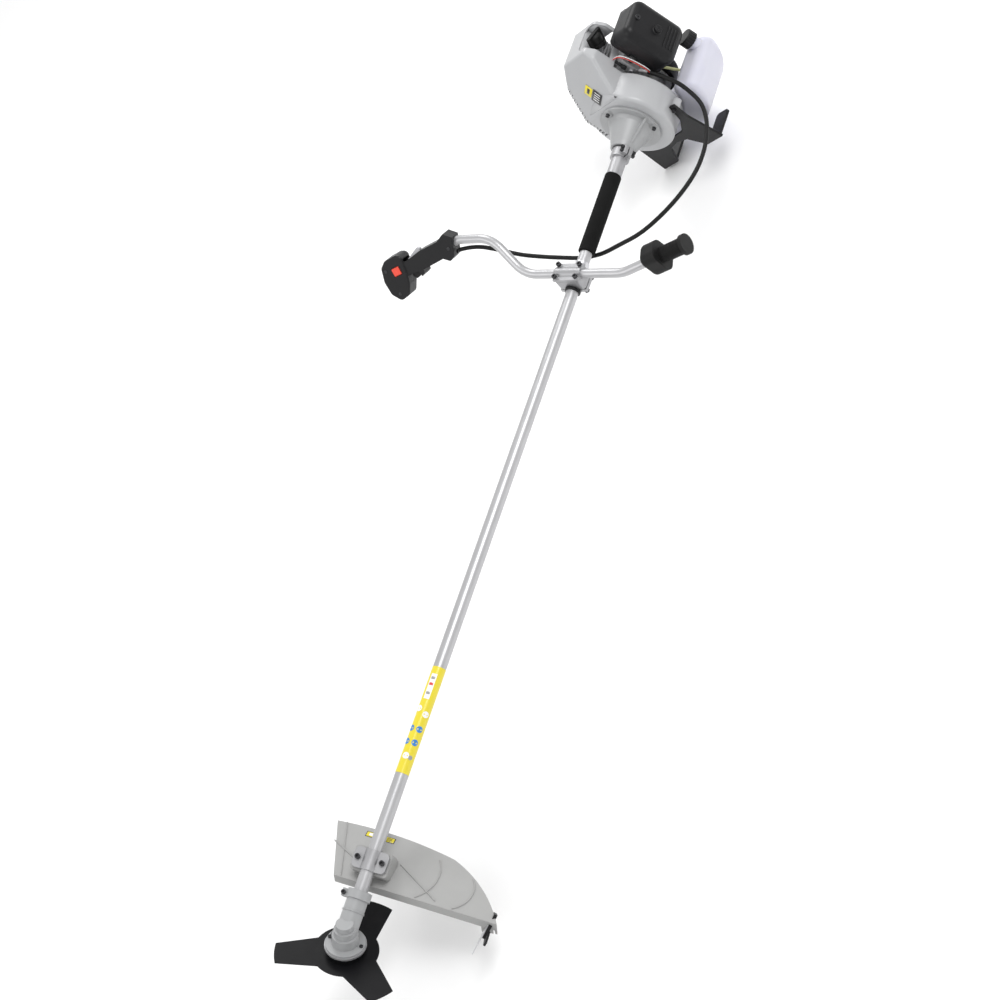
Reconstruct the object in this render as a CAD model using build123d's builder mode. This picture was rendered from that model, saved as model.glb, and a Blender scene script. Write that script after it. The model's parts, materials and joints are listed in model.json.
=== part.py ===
from build123d import *
from math import atan2, cos, degrees, hypot, pi, radians, sin, tan
import os

# Brush cutter with a bicycle handlebar. +X points from the engine to the blade along the shaft, +Y is
# the operator's left and +Z is up. The origin is the harness eye under the shaft. Pieces of the gearhead
# and of the engine are drawn in a level frame of their own and turned about the shaft when written.

# ---- driving dimensions (mm, degrees) ----
AXIS_Z = 32.0              # shaft axis above the harness eye
GEARHEAD_X = 1400.0        # gearhead centre ahead of the harness eye
GEARHEAD_ROLL = -20.0      # gearhead and guard turned on the tube
ENGINE_X = -435.0          # cylinder axis behind the harness eye
ENGINE_ROLL = 28.0         # engine turned on the tube
TUBE_R = 13.0              # shaft tube, 26 mm outside
TUBE_WALL = 1.5
DRIVE_R = 4.0              # solid drive shaft
SPINDLE_LEAN = 55.0        # spindle against the shaft
BLADE_R = 127.5            # 255 mm three-tooth blade
BLADE_T = 1.6
BLADE_BORE_R = 12.7        # 25.4 mm arbor
BLADE_DROP = 40.0          # blade below the shaft axis, along the spindle
BLADE_PHASE = 55.0         # first tooth from straight ahead
BAR_R = 9.5                # handlebar, 19 mm outside
BAR_X = 35.0               # handlebar clamp centre
BAR_Z = 28.0               # bar axis above the shaft axis
FIT = 0.05                 # radial clearance of a running fit
GAP = 0.3                  # clearance between curved neighbours that move apart

SHAFT = Location((0, 0, AXIS_Z))
GEARHEAD = Location((GEARHEAD_X, 0, AXIS_Z), (GEARHEAD_ROLL, 0, 0))
ENGINE = Location((ENGINE_X, 0, AXIS_Z), (ENGINE_ROLL, 0, 0))

os.makedirs("parts", exist_ok=True)


def save(piece, node, frame):
    """Label a finished piece, stand it in its frame and write it."""
    placed = piece.part.moved(frame)
    placed.label = node
    export_step(placed, f"parts/{node}.step")


def across(x, y=0.0, z=0.0):
    """Plane square to the shaft at x: sketch x is +Y and sketch y is +Z."""
    return Plane(origin=(x, y, z), x_dir=(0, 1, 0), z_dir=(1, 0, 0))


def side(y):
    """Upright plane along the shaft: sketch x is +X, sketch y is +Z and the normal is -Y."""
    return Plane(origin=(0, y, 0), x_dir=(1, 0, 0), z_dir=(0, -1, 0))


def bar(plane, radius, length, mode=Mode.ADD, spots=((0, 0),)):
    """Round bars of one size standing on a plane."""
    with BuildSketch(plane) as disc:
        with Locations(*spots):
            Circle(radius)
    extrude(disc.sketch, amount=length, mode=mode)


def block(plane, width, height, length, centre=(0, 0), corner=0.0, mode=Mode.ADD):
    """Rectangular block standing on a plane, with rounded upright corners."""
    with BuildSketch(plane) as outline:
        with Locations(centre):
            if corner:
                RectangleRounded(width, height, corner)
            else:
                Rectangle(width, height)
    extrude(outline.sketch, amount=length, mode=mode)


def hexagon(plane, across_flats, length, mode=Mode.ADD, spots=((0, 0),)):
    """Hexagonal bars standing on a plane."""
    with BuildSketch(plane) as outline:
        with Locations(*spots):
            RegularPolygon(across_flats / 2, 6, major_radius=False)
    extrude(outline.sketch, amount=length, mode=mode)


def turned(points):
    """Solid of revolution about the X axis from (x, radius) points."""
    with BuildSketch(Plane.XY) as profile:
        with BuildLine():
            Polyline(*points, close=True)
        make_face()
    revolve(profile.sketch, axis=Axis.X)


def slab(plane, points, thickness, corner=0.0, mode=Mode.ADD):
    """Plate with a straight-sided outline whose corners are rounded."""
    with BuildSketch(plane) as outline:
        with BuildLine():
            Polyline(*points, close=True)
        make_face()
        if corner:
            fillet(outline.vertices(), corner)
    extrude(outline.sketch, amount=thickness, mode=mode)


def socket_screw(plane, shank_r, length, head_r, head_h, key):
    """Socket screw whose head stands on the plane and whose shank goes down from it."""
    bar(plane, head_r, head_h)
    bar(plane, shank_r, -length)
    hexagon(plane.offset(head_h), key, -head_h * 0.6, Mode.SUBTRACT)


def fair_radii(points):
    """Largest even arcs for a route: 0.45 of the shorter run over the tangent of half the turn."""
    runs = [Vector(*b) - Vector(*a) for a, b in zip(points, points[1:])]
    return [
        0.45 * min(a.length, b.length) / tan(radians(a.get_angle(b)) / 2)
        for a, b in zip(runs, runs[1:])
    ]


def hose(points, radius):
    """Solid round cord along a route of straight runs and tangent arcs."""
    with BuildLine() as route:
        FilletPolyline(*points, radius=fair_radii(points))
    start = route.wire() % 0
    with BuildSketch(Plane(origin=points[0], z_dir=start)) as section:
        Circle(radius)
    sweep(section.sketch, path=route.wire())
    return route.wire().length


# ======================= gearhead =======================
# Level frame at the gearhead: the shaft arrives from -X and the spindle leans back at its top.
LEAN = radians(SPINDLE_LEAN)
SPINDLE_UP = Vector(-cos(LEAN), 0, sin(LEAN))
AHEAD = Vector(sin(LEAN), 0, cos(LEAN))


def on_spindle(height, turn=0.0):
    """Plane square to the spindle: sketch x points ahead and sketch y is +Y."""
    heading = AHEAD * cos(radians(turn)) + Vector(0, sin(radians(turn)), 0)
    return Plane(origin=SPINDLE_UP * height, x_dir=heading, z_dir=SPINDLE_UP)


CASE_BORE_X = -46.0        # the tube ends here inside the case
CASE_END_X = -80.0
INPUT_R = 19.5
SPINDLE_CASE_R = 24.0
FLANGE_R = 36.0
CAP_R = 38.0
FLANGE_TOP = -17.0
FLANGE_BOTTOM = -21.0
CAP_BOTTOM = -26.0
CASE_SCREW_R = 31.0
CLAMP_SCREW_X = -70.0
BEARING_R = 13.0
UPPER_BEARING_R = 10.0
LOWER_BEARING_R = 16.0
SPINDLE_R = 5.0
SPINDLE_LOW_R = 6.0
INPUT_BEARINGS = ((-42.0, -34.0), (-32.0, -24.0))

with BuildPart() as gear_case:
    bar(on_spindle(FLANGE_BOTTOM), SPINDLE_CASE_R, 24.0)
    bar(on_spindle(0.0), 20.0, 16.0)
    bar(on_spindle(10.0), 16.0, 18.0)
    bar(on_spindle(FLANGE_BOTTOM), FLANGE_R, FLANGE_TOP - FLANGE_BOTTOM)
    bar(across(CASE_END_X), INPUT_R, -CASE_END_X)
    bar(across(CASE_END_X), INPUT_R + 3.0, 16.0)
    bar(across(-44.0), INPUT_R + 1.2, 3.0)
    block(across(CASE_END_X + 2), 16.0, 18.0, 14.0, centre=(-24, -2), corner=4)
    bar(on_spindle(FLANGE_BOTTOM), 20.0, 22.5, Mode.SUBTRACT)
    bar(on_spindle(-6.0), 15.0, 12.0, Mode.SUBTRACT)
    bar(on_spindle(0.0), UPPER_BEARING_R, 25.0, Mode.SUBTRACT)
    bar(across(CASE_END_X), TUBE_R, CASE_BORE_X - CASE_END_X, Mode.SUBTRACT)
    bar(across(CASE_BORE_X), BEARING_R, -CASE_BORE_X - 12.0, Mode.SUBTRACT)
    block(across(CASE_END_X - 1), 24.0, 2.0, 21.0, centre=(-23, -2), mode=Mode.SUBTRACT)
    bar(Plane(origin=(CLAMP_SCREW_X, -27, -12), z_dir=(0, 0, 1)), 2.6, 22.0, Mode.SUBTRACT)
    bar(on_spindle(FLANGE_BOTTOM), 2.1, 10.0, Mode.SUBTRACT, ((0, CASE_SCREW_R), (0, -CASE_SCREW_R)))
save(gear_case, "gear_case", GEARHEAD)

with BuildPart() as bearing_cap:
    bar(on_spindle(FLANGE_BOTTOM), CAP_R, CAP_BOTTOM - FLANGE_BOTTOM)
    bar(on_spindle(FLANGE_BOTTOM), 19.8, 5.0)
    bar(on_spindle(-30.0), LOWER_BEARING_R, 20.0, Mode.SUBTRACT)
    bar(on_spindle(CAP_BOTTOM), 2.1, 10.0, Mode.SUBTRACT, ((0, CASE_SCREW_R), (0, -CASE_SCREW_R)))
    chamfer(bearing_cap.faces().sort_by(Axis(origin=(0, 0, 0), direction=SPINDLE_UP))[0].edges(), 0.8)
save(bearing_cap, "bearing_cap", GEARHEAD)

with BuildPart() as gearhead_bearings:
    bar(on_spindle(19.0), UPPER_BEARING_R, 6.0)
    bar(on_spindle(19.0), SPINDLE_R + FIT, 6.0, Mode.SUBTRACT)
    bar(on_spindle(-25.0), LOWER_BEARING_R, 9.0)
    bar(on_spindle(-25.0), SPINDLE_LOW_R + FIT, 9.0, Mode.SUBTRACT)
    for start, end in INPUT_BEARINGS:
        bar(across(start), BEARING_R, end - start)
        bar(across(start), SPINDLE_R + FIT, end - start, Mode.SUBTRACT)
save(gearhead_bearings, "gearhead_bearings", GEARHEAD)

with BuildPart() as gear_screws:
    for spot in (CASE_SCREW_R, -CASE_SCREW_R):
        seat = Plane(origin=SPINDLE_UP * FLANGE_TOP + Vector(0, spot, 0), x_dir=AHEAD, z_dir=SPINDLE_UP)
        socket_screw(seat, 2.0, 8.5, 3.5, 2.5, 2.5)
    clamp_seat = Plane(origin=(CLAMP_SCREW_X, -27, 7), z_dir=(0, 0, 1))
    socket_screw(clamp_seat, 2.5, 17.0, 4.2, 5.0, 4.0)
    grease_seat = Plane(origin=SPINDLE_UP * -10 - Vector(0, SPINDLE_CASE_R, 0), z_dir=(0, -1, 0))
    hexagon(grease_seat, 8.0, 4.0)
save(gear_screws, "gear_screws", GEARHEAD)

TEETH_CROWN = 19
TEETH_PINION = 13
CROWN_R = 17.5
PINION_R = 9.2

with BuildPart() as crown_gear:
    bar(on_spindle(-6.6), CROWN_R, 7.0)
    bar(on_spindle(-12.5), 9.0, 6.0)
    for tooth in range(TEETH_CROWN):
        gap = on_spindle(0.4, tooth * 360 / TEETH_CROWN)
        block(gap, 8.0, 1.9, -2.0, centre=(CROWN_R - 2, 0), mode=Mode.SUBTRACT)
    bar(on_spindle(-13.0), SPINDLE_LOW_R, 14.0, Mode.SUBTRACT)
save(crown_gear, "crown_gear", GEARHEAD)

with BuildPart() as pinion_gear:
    bar(across(-23.7), PINION_R, 8.5)
    for tooth in range(TEETH_PINION):
        turn = radians(tooth * 360 / TEETH_PINION)
        gap = Plane(origin=(-24, 0, 0), x_dir=(0, cos(turn), sin(turn)), z_dir=(1, 0, 0))
        block(gap, 3.2, 2.2, 9.0, centre=(PINION_R - 0.4, 0), mode=Mode.SUBTRACT)
    bar(across(-24), DRIVE_R, 12.0, Mode.SUBTRACT)
save(pinion_gear, "pinion_gear", GEARHEAD)

NUT_BOTTOM = -56.0
with BuildPart() as output_spindle:
    bar(on_spindle(13.0), SPINDLE_R, 11.5)
    bar(on_spindle(-38.0), SPINDLE_LOW_R, 51.0)
    bar(on_spindle(NUT_BOTTOM - 2), SPINDLE_R, 20.5)
save(output_spindle, "output_spindle", GEARHEAD)

BLADE_TOP = -BLADE_DROP + BLADE_T / 2
BLADE_BOTTOM = -BLADE_DROP - BLADE_T / 2
with BuildPart() as inner_flange:
    bar(on_spindle(BLADE_TOP), 26.0, 5.0)
    bar(on_spindle(BLADE_TOP + 5), 14.0, 5.5)
    bar(on_spindle(BLADE_BOTTOM + 0.3), BLADE_BORE_R - FIT, 3.0)
    bar(on_spindle(-60.0), SPINDLE_R, 40.0, Mode.SUBTRACT)
    bar(on_spindle(-38.0), SPINDLE_LOW_R, 20.0, Mode.SUBTRACT)
save(inner_flange, "inner_flange", GEARHEAD)

HUB_R = 60.0
TOOTH_TIP_HALF = 23.2
TOOTH_ROOT_HALF = 33.5
with BuildPart() as blade:
    with BuildSketch(on_spindle(BLADE_BOTTOM, BLADE_PHASE)) as outline:
        Circle(HUB_R)
        with PolarLocations(0, 3):
            Polygon(
                (20, -TOOTH_ROOT_HALF - 8), (52, -TOOTH_ROOT_HALF), (BLADE_R + 6, -TOOTH_TIP_HALF + 0.6),
                (BLADE_R + 6, TOOTH_TIP_HALF - 0.6), (52, TOOTH_ROOT_HALF), (20, TOOTH_ROOT_HALF + 8),
                align=None)
        Circle(BLADE_R, mode=Mode.INTERSECT)
        Circle(BLADE_BORE_R, mode=Mode.SUBTRACT)
    extrude(amount=BLADE_T)
save(blade, "blade", GEARHEAD)

with BuildPart() as support_cup:
    with BuildSketch(Plane.XY) as profile:
        with BuildLine():
            Polyline((BLADE_BOTTOM, SPINDLE_R), (BLADE_BOTTOM, 26), (-47, 26), (-54, 21), (-54, 18.5),
                     (-46, 18.5), (-46, SPINDLE_R), close=True)
        make_face()
    cup = revolve(profile.sketch, axis=Axis.X)
support_cup.part = support_cup.part.moved(Location(on_spindle(0)) * Location((0, 0, 0), (0, -90, 0)))
save(support_cup, "support_cup", GEARHEAD)

with BuildPart() as blade_nut:
    hexagon(on_spindle(NUT_BOTTOM), 17.0, 10.0)
    bar(on_spindle(NUT_BOTTOM), SPINDLE_R, 10.0, Mode.SUBTRACT)
save(blade_nut, "blade_nut", GEARHEAD)

# ======================= guard =======================
GUARD_FRONT_X = -97.0
GUARD_FRONT_Z = -20.0
GUARD_SLOPE = 24.8
GUARD_DEPTH = 118.0
GUARD_RIM = 20.0
GUARD_WALL = 3.0
BRACKET_X = -137.0
PAD_TOP = -1.0
GUARD_BOLT_Y = 24.0
GUARD_BACK = Vector(-cos(radians(GUARD_SLOPE)), 0, -sin(radians(GUARD_SLOPE)))
GUARD_UP = Vector(-sin(radians(GUARD_SLOPE)), 0, cos(radians(GUARD_SLOPE)))


def on_guard(height):
    """Plane of the guard's top: sketch x runs back down the slope and sketch y is -Y."""
    front = Vector(GUARD_FRONT_X, 0, GUARD_FRONT_Z)
    return Plane(origin=front + GUARD_UP * height, x_dir=GUARD_BACK, z_dir=GUARD_UP)


def guard_outline(plane, inset):
    """Outline of the guard: straight front, cut-off right end and a round back that sweeps left."""
    with BuildSketch(plane) as outline:
        with BuildLine():
            Line((0, -252), (0, 66))
            Line((0, 66), (GUARD_DEPTH - 4, 112))
            ThreePointArc((GUARD_DEPTH - 4, 112), (GUARD_DEPTH, -14), (GUARD_DEPTH - 14, -128))
            ThreePointArc((GUARD_DEPTH - 14, -128), (66, -194), (0, -252))
        make_face()
        if inset:
            offset(amount=-inset, kind=Kind.INTERSECTION)
    return outline.sketch


KNIFE = Plane(origin=(-88, 232, -36), x_dir=(0.94, -0.24, -0.24), z_dir=(0.12, 0.88, -0.41))
with BuildPart() as knife_holder:
    slab(KNIFE, ((-30, -8), (16, -12), (20, 4), (2, 12), (-30, 10)), 6.0, 2.0)
    slab(KNIFE.offset(4), ((0, -10), (16, -34), (24, -30), (16, -4)), 4.0, 1.0)
save(knife_holder, "knife_holder", GEARHEAD)

with BuildPart() as line_knife:
    slab(KNIFE.offset(-1.6), ((-10, -6), (14, -9), (52, -2), (18, 5), (-10, 6)), 1.5)
save(line_knife, "line_knife", GEARHEAD)

with BuildPart() as guard:
    extrude(guard_outline(on_guard(0), 0), amount=-GUARD_RIM)
    extrude(guard_outline(on_guard(-GUARD_WALL), GUARD_WALL), amount=-GUARD_RIM, mode=Mode.SUBTRACT)
    slab(on_guard(-2), ((4, -250), (42, -212), (30, -200), (0, -222)), -34)
    slab(on_guard(-2 - GUARD_WALL), ((7, -243), (36, -213), (29, -206), (4, -226)), -34, mode=Mode.SUBTRACT)
    for reach in (-172.0, -100.0):
        with BuildSketch(on_guard(-1)) as rib:
            with BuildLine():
                ThreePointArc((4, reach + 8), (46, reach - 16), (94 + (reach + 100) / 4, reach - 4))
            trace(line_width=2.0)
        extrude(rib.sketch, amount=2.6)
    slab(on_guard(-1), ((3, 52), (GUARD_DEPTH - 2, 92), (GUARD_DEPTH - 2, 94), (3, 54)), 2.6)
    slab(on_guard(-1), ((70, 98), (72, 98), (44, 40), (42, 40)), 2.6)
    slab(on_guard(-1), ((60, -40), (62, -40), (10, -130), (8, -130)), 2.6)
    block(Plane(origin=(BRACKET_X, 0, PAD_TOP)), 46.0, 72.0, -40.0, corner=6)
    extrude(guard_outline(on_guard(-GUARD_WALL - 4), GUARD_WALL), amount=-60.0, mode=Mode.SUBTRACT)
    bar(across(-200.0), TUBE_R, 200.0, Mode.SUBTRACT)
    bar(Plane(origin=(BRACKET_X, 0, -60)), 3.1, 70.0, Mode.SUBTRACT, ((0, GUARD_BOLT_Y), (0, -GUARD_BOLT_Y)))
guard.part = guard.part - knife_holder.part - line_knife.part
save(guard, "guard", GEARHEAD)

with BuildPart() as guard_bracket:
    with BuildSketch(across(BRACKET_X - 19)) as arch:
        Circle(TUBE_R + 3.0)
        Rectangle(66, 40, align=(Align.CENTER, Align.MAX), mode=Mode.SUBTRACT)
        Rectangle(66, 8.0, align=(Align.CENTER, Align.MIN))
        Circle(TUBE_R, mode=Mode.SUBTRACT)
    extrude(amount=38.0)
    fillet(guard_bracket.edges().filter_by(Axis.Z).group_by(Axis.Y)[0], 9.0)
    fillet(guard_bracket.edges().filter_by(Axis.Z).group_by(Axis.Y)[-1], 9.0)
    bar(Plane(origin=(BRACKET_X, 0, -4)), 3.1, 20.0, Mode.SUBTRACT, ((0, GUARD_BOLT_Y), (0, -GUARD_BOLT_Y)))
save(guard_bracket, "guard_bracket", GEARHEAD)

with BuildPart() as guard_bolts:
    for spot in (GUARD_BOLT_Y, -GUARD_BOLT_Y):
        socket_screw(Plane(origin=(BRACKET_X, spot, 8.0)), 3.0, 24.0, 5.0, 6.0, 5.0)
save(guard_bolts, "guard_bolts", GEARHEAD)

# ======================= shaft =======================
TUBE_FRONT = GEARHEAD_X + CASE_BORE_X
TUBE_BACK = ENGINE_X + 131.0
DRIVE_FRONT = GEARHEAD_X - 15.5
DRIVE_BACK = ENGINE_X + 112.0
BUSH_COUNT = 4
BUSH_LENGTH = 24.0
FOAM_X = (-222.0, -32.0)
FOAM_R = 17.5

with BuildPart() as shaft_tube:
    bar(across(TUBE_BACK), TUBE_R, TUBE_FRONT - TUBE_BACK)
    bar(across(TUBE_BACK), TUBE_R - TUBE_WALL, TUBE_FRONT - TUBE_BACK, Mode.SUBTRACT)
save(shaft_tube, "shaft_tube", SHAFT)

with BuildPart() as drive_shaft:
    bar(across(DRIVE_BACK), DRIVE_R, DRIVE_FRONT - DRIVE_BACK)
    for start, end in INPUT_BEARINGS:
        bar(across(GEARHEAD_X + start), SPINDLE_R, end - start)
save(drive_shaft, "drive_shaft", SHAFT)

with BuildPart() as shaft_bushes:
    spacing = (TUBE_FRONT - TUBE_BACK) / BUSH_COUNT
    for step in range(BUSH_COUNT):
        bush = across(TUBE_BACK + spacing * (step + 0.5) - BUSH_LENGTH / 2)
        bar(bush, TUBE_R - TUBE_WALL, BUSH_LENGTH)
    bar(across(TUBE_BACK), DRIVE_R + FIT, TUBE_FRONT - TUBE_BACK, Mode.SUBTRACT)
save(shaft_bushes, "shaft_bushes", SHAFT)

with BuildPart() as foam_sleeve:
    bar(across(FOAM_X[0]), FOAM_R, FOAM_X[1] - FOAM_X[0])
    fillet(foam_sleeve.edges(), 3.0)
    bar(across(FOAM_X[0]), TUBE_R, FOAM_X[1] - FOAM_X[0], Mode.SUBTRACT)
save(foam_sleeve, "foam_sleeve", SHAFT)

EYE_R = 6.0
with BuildPart() as hanger_band:
    bar(across(-7.0), TUBE_R + 2.0, 14.0)
    with BuildSketch(side(2.0)) as ear:
        with BuildLine():
            Polyline((-7, -10), (7, -10), (11.5, -AXIS_Z), (-11.5, -AXIS_Z), close=True)
        make_face()
        with Locations((0, -AXIS_Z)):
            Circle(11.5)
    extrude(ear.sketch, amount=4.0)
    bar(across(-14.0), TUBE_R, 28.0, Mode.SUBTRACT)
    bar(Plane(origin=(0, 6, -AXIS_Z), z_dir=(0, -1, 0)), EYE_R, 12.0, Mode.SUBTRACT)
save(hanger_band, "hanger_band", SHAFT)

# ======================= handlebar =======================
BOLT_X = 14.5
BOLT_Y = 25.0
CLAMP_X = 20.0             # half length along the shaft
CLAMP_Y = 31.0             # half width along the bar
CLAMP_SPOTS = [(BAR_X + i * BOLT_X, j * BOLT_Y) for i in (-1, 1) for j in (-1, 1)]
BAR_ROUTE = ((-3, 276, 66), (BAR_X, 127, BAR_Z), (BAR_X, -110, BAR_Z), (-19, -184, 82), (-19, -268, 82))
THROTTLE_DIR = Vector(0.352, -0.927, -0.128).normalized()
THROTTLE_UP_HINT = Vector(-0.6, 0, 0.8)
BAR_IN_GRIP = 96.0

with BuildPart() as handle_clamp_base:
    block(Plane(origin=(BAR_X, 0, 2)), 2 * CLAMP_X, 2 * CLAMP_Y, BAR_Z - 2.5, corner=6)
    bar(across(BAR_X - CLAMP_X), TUBE_R, 2 * CLAMP_X, Mode.SUBTRACT)
    bar(Plane(origin=(BAR_X, 40, BAR_Z), z_dir=(0, -1, 0)), BAR_R, 80.0, Mode.SUBTRACT)
    bar(Plane(origin=(0, 0, -2)), 3.1, 40.0, Mode.SUBTRACT, CLAMP_SPOTS)
save(handle_clamp_base, "handle_clamp_base", SHAFT)

with BuildPart() as handle_clamp_cap:
    with BuildSketch(Plane(origin=(BAR_X, CLAMP_Y, BAR_Z), x_dir=(1, 0, 0), z_dir=(0, -1, 0))) as hood:
        Circle(BAR_R + 4.0)
        Rectangle(40, 20, align=(Align.CENTER, Align.MAX), mode=Mode.SUBTRACT)
        Rectangle(2 * CLAMP_X, 7.0, align=(Align.CENTER, Align.MIN))
        Circle(BAR_R, mode=Mode.SUBTRACT)
    extrude(amount=2 * CLAMP_Y)
    bar(Plane(origin=(0, 0, BAR_Z + 0.6)), 5.2, 9.4, Mode.ADD, CLAMP_SPOTS)
    bar(Plane(origin=(0, 0, BAR_Z - 6)), 3.1, 40.0, Mode.SUBTRACT, CLAMP_SPOTS)
    bar(Plane(origin=(BAR_X, 40, BAR_Z), z_dir=(0, -1, 0)), BAR_R, 80.0, Mode.SUBTRACT)
    block(Plane(origin=(BAR_X, 0, BAR_Z - 5)), 60.0, 80.0, 5.6, mode=Mode.SUBTRACT)
save(handle_clamp_cap, "handle_clamp_cap", SHAFT)

with BuildPart() as handle_clamp_foot:
    with BuildSketch(across(BAR_X - CLAMP_X)) as strap:
        Circle(TUBE_R + 4.0)
        Rectangle(80, 40, align=(Align.CENTER, Align.MIN), mode=Mode.SUBTRACT)
        Rectangle(2 * CLAMP_Y, 8.0, align=(Align.CENTER, Align.MAX))
        Circle(TUBE_R, mode=Mode.SUBTRACT)
    extrude(amount=2 * CLAMP_X)
    bar(Plane(origin=(0, 0, -20)), 3.1, 40.0, Mode.SUBTRACT, CLAMP_SPOTS)
save(handle_clamp_foot, "handle_clamp_foot", SHAFT)

with BuildPart() as handle_clamp_bolts:
    for spot in CLAMP_SPOTS:
        socket_screw(Plane(origin=(*spot, BAR_Z + 10)), 3.0, 50.0, 5.0, 6.0, 5.0)
        hexagon(Plane(origin=(*spot, -8)), 10.0, -5.0)
save(handle_clamp_bolts, "handle_clamp_bolts", SHAFT)

with BuildPart() as clamp_ring:
    bar(across(BAR_X + CLAMP_X + 1), TUBE_R + 3.5, 6.0)
    fillet(clamp_ring.edges(), 1.8)
    bar(across(BAR_X + CLAMP_X + 1), TUBE_R, 6.0, Mode.SUBTRACT)
save(clamp_ring, "clamp_ring", SHAFT)

bar_end = Vector(*BAR_ROUTE[-1]) + THROTTLE_DIR * BAR_IN_GRIP
with BuildPart() as handlebar:
    with BuildLine() as route:
        FilletPolyline(*BAR_ROUTE, tuple(bar_end), radius=(90, 70, 70, 60))
    grip_end = Plane(origin=BAR_ROUTE[0], z_dir=route.wire() % 0)
    with BuildSketch(grip_end) as section:
        Circle(BAR_R)
        Circle(BAR_R - 1.5, mode=Mode.SUBTRACT)
    sweep(section.sketch, path=route.wire())
save(handlebar, "handlebar", SHAFT)

left_dir = (Vector(*BAR_ROUTE[0]) - Vector(*BAR_ROUTE[1])).normalized()
LEFT_GRIP = Plane(origin=Vector(*BAR_ROUTE[1]), x_dir=(0, 0, 1), z_dir=left_dir)
LEFT_GRIP_START = 66.0
LEFT_GRIP_END = 162.0
with BuildPart() as left_grip:
    bar(LEFT_GRIP.offset(LEFT_GRIP_START + 36), 15.5, LEFT_GRIP_END - LEFT_GRIP_START - 36)
    for ridge in range(12):
        bar(LEFT_GRIP.offset(LEFT_GRIP_START + 42 + ridge * 3.6), 16.8, 2.0)
    bar(LEFT_GRIP.offset(LEFT_GRIP_END - 8), 21.0, 8.0)
    with BuildSketch(LEFT_GRIP.offset(LEFT_GRIP_START)) as guard_disc:
        RectangleRounded(62, 50, 18)
    shield = extrude(guard_disc.sketch, amount=36.0)
    fillet(left_grip.edges().group_by(Axis(origin=LEFT_GRIP.origin, direction=left_dir))[0], 9.0)
    bar(LEFT_GRIP.offset(LEFT_GRIP_START - 2), BAR_R, LEFT_GRIP_END - LEFT_GRIP_START - 1.5, Mode.SUBTRACT)
save(left_grip, "left_grip", SHAFT)

# ======================= throttle grip =======================
# Own frame: x runs outward along the bar, y is the palm side and z points away from the switch side.
palm = (THROTTLE_UP_HINT - THROTTLE_DIR * THROTTLE_UP_HINT.dot(THROTTLE_DIR)).normalized()
THROTTLE = SHAFT * Location(Plane(origin=BAR_ROUTE[-1], x_dir=THROTTLE_DIR, z_dir=THROTTLE_DIR.cross(palm)))
GRIP_HALF = 17.0
HEAD_HALF = 20.0
SHELL = 2.6
GRIP_OUTLINE = (
    (4, 12), (20, 27), (41, 18), (92, 17), (126, 11), (146, 12), (152, -26), (143, -20), (114, -20),
    (112, -34), (104, -30), (102, -22), (47, -20), (34, -31), (20, -26))
HEAD_OUTLINE = (
    (133, 26), (148, 32), (176, 31), (192, 20), (202, -10), (201, -40), (186, -61), (162, -57), (148, -37),
    (140, -12))
CAVITY_OUTLINE = (
    (98, 9), (126, 6), (137, 20), (148, 27), (174, 26), (188, 16), (197, -10), (196, -38), (184, -55), (165, -52),
    (154, -36), (147, -15), (98, -15))
TRIGGER_PIVOT = (122.0, -6.0)
LOCKOUT_PIVOT = (126.0, 2.0)
SWITCH_SPOT = (160.0, 0.0)
SWITCH_HALF = 9.0
SWITCH_PIN_R = 1.5
SWITCH_AXIS_Z = -15.0
SWITCH_AXIS = Plane(origin=(SWITCH_SPOT[0] - 12, SWITCH_SPOT[1], SWITCH_AXIS_Z), x_dir=(0, 1, 0), z_dir=(1, 0, 0))


def grip_half(sign):
    """One moulded half of the throttle grip, hollow at the head and bored for the bar."""
    with BuildPart() as half:
        slab(Plane.XY, GRIP_OUTLINE, sign * GRIP_HALF, 1.6)
        slab(Plane.XY, HEAD_OUTLINE, sign * HEAD_HALF, 11.0)
        outer = half.faces().filter_by(Axis.Z).group_by(Axis.Z)[-1 if sign > 0 else 0]
        chamfer(outer.edges(), 2.5)
        slab(Plane.XY, CAVITY_OUTLINE, sign * (GRIP_HALF - SHELL), 1.0, Mode.SUBTRACT)
        bar(Plane(origin=(-2, 0, 0), x_dir=(0, 1, 0), z_dir=(1, 0, 0)), BAR_R, 100.0, Mode.SUBTRACT)
        bar(Plane(origin=(0, -20, 0), x_dir=(0, 1, 0), z_dir=(1, 0, 0)), 4.7, 30.0, Mode.SUBTRACT)
        block(Plane.XY, 34.0, 16.0, sign * 6.4, centre=(126, -20), mode=Mode.SUBTRACT)
        block(Plane.XY, 44.0, 20.0, sign * 6.4, centre=(110, 12), mode=Mode.SUBTRACT)
    return half


throttle_shell_front = grip_half(-1)
with BuildPart() as switch_window:
    block(Plane.XY.offset(-HEAD_HALF - 2), 2 * SWITCH_HALF + 1.6, 2 * SWITCH_HALF + 1.6, 14.0, centre=SWITCH_SPOT)
with BuildPart() as switch_pin:
    bar(SWITCH_AXIS, SWITCH_PIN_R, 24.0)
throttle_shell_front.part = throttle_shell_front.part - switch_window.part + switch_pin.part
save(throttle_shell_front, "throttle_shell_front", THROTTLE)
throttle_shell_rear = grip_half(1)
save(throttle_shell_rear, "throttle_shell_rear", THROTTLE)

with BuildPart() as throttle_trigger:
    slab(Plane.XY.offset(-5.5), ((118, -2), (126, -2), (136, -14), (138, -26), (132, -34), (122, -32), (116, -20)),
         11.0, 1.5)
    bar(Plane(origin=(*TRIGGER_PIVOT, -GRIP_HALF + SHELL + 0.2)), 2.5, 2 * (GRIP_HALF - SHELL) - 0.4)
save(throttle_trigger, "throttle_trigger", THROTTLE)

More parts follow.
